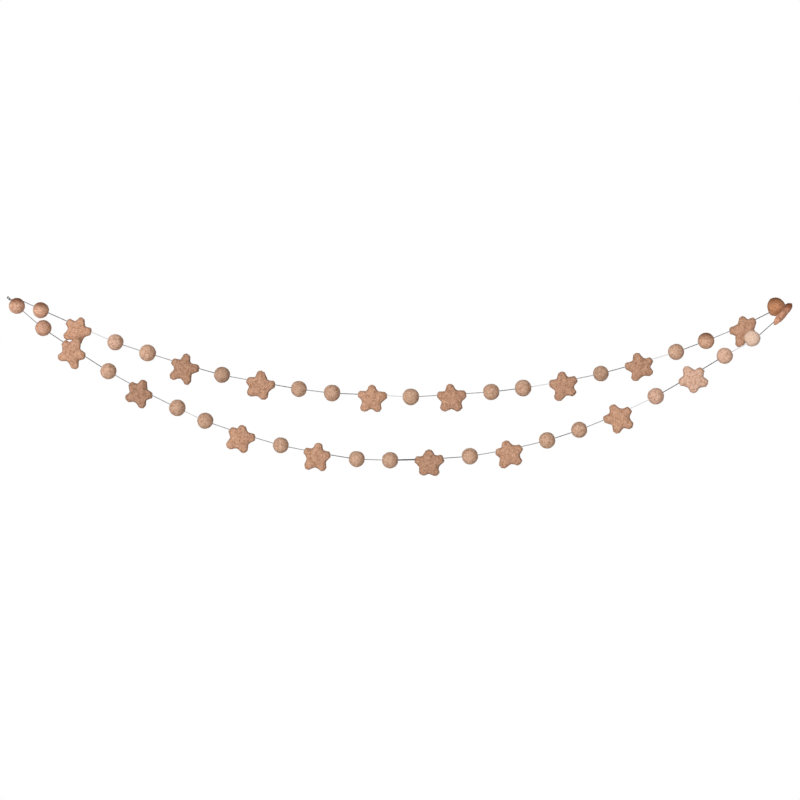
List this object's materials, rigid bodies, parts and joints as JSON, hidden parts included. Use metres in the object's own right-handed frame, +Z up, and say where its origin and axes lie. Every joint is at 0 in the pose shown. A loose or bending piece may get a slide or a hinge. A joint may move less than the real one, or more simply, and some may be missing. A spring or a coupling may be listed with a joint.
{
  "type": "felt ball and star garland",
  "caption": "Garland of felt balls and puffy felt stars threaded on one thin twisted cord, hung as a double swag between two points.",
  "frame": {"origin": "centre of the small eye in which both ends of the cord are tied, where the left end hangs", "axes": "+X to the right along the swag, +Y back towards the wall, +Z up"},
  "size_m": [1.2262, 0.0625, 0.2806],
  "materials": {
    "felt_sand": "matt wool felt, sandy tan",
    "felt_blush": "matt wool felt, pale pinkish tan",
    "felt_cream": "matt wool felt, pale cream pink",
    "felt_clay": "matt wool felt, light clay brown",
    "felt_umber": "matt wool felt, warm brown",
    "twine": "matt twisted cotton twine, mid grey"
  },
  "bodies": {
    "root": {"cord": "twine", "end_eye": "twine", "lower_ball_01": "felt_blush", "lower_ball_02": "felt_blush", "lower_ball_03": "felt_sand", "lower_ball_04": "felt_sand", "lower_ball_05": "felt_sand", "lower_ball_06": "felt_sand", "lower_ball_07": "felt_sand", "lower_ball_08": "felt_sand", "lower_ball_09": "felt_sand", "lower_ball_10": "felt_sand", "lower_ball_11": "felt_sand", "lower_ball_12": "felt_blush", "lower_ball_13": "felt_blush", "lower_ball_14": "felt_cream", "lower_star_01": "felt_clay", "lower_star_02": "felt_clay", "lower_star_03": "felt_clay", "lower_star_04": "felt_clay", "lower_star_05": "felt_clay", "lower_star_06": "felt_clay", "lower_star_07": "felt_clay", "lower_star_08": "felt_blush", "lower_star_09": "felt_blush", "upper_ball_01": "felt_blush", "upper_ball_02": "felt_blush", "upper_ball_03": "felt_sand", "upper_ball_04": "felt_sand", "upper_ball_05": "felt_sand", "upper_ball_06": "felt_sand", "upper_ball_07": "felt_sand", "upper_ball_08": "felt_sand", "upper_ball_09": "felt_sand", "upper_ball_10": "felt_sand", "upper_ball_11": "felt_sand", "upper_ball_12": "felt_sand", "upper_ball_13": "felt_umber", "upper_star_01": "felt_clay", "upper_star_02": "felt_clay", "upper_star_03": "felt_clay", "upper_star_04": "felt_clay", "upper_star_05": "felt_clay", "upper_star_06": "felt_clay", "upper_star_07": "felt_clay", "upper_star_08": "felt_clay"}
  },
  "joints": []
}
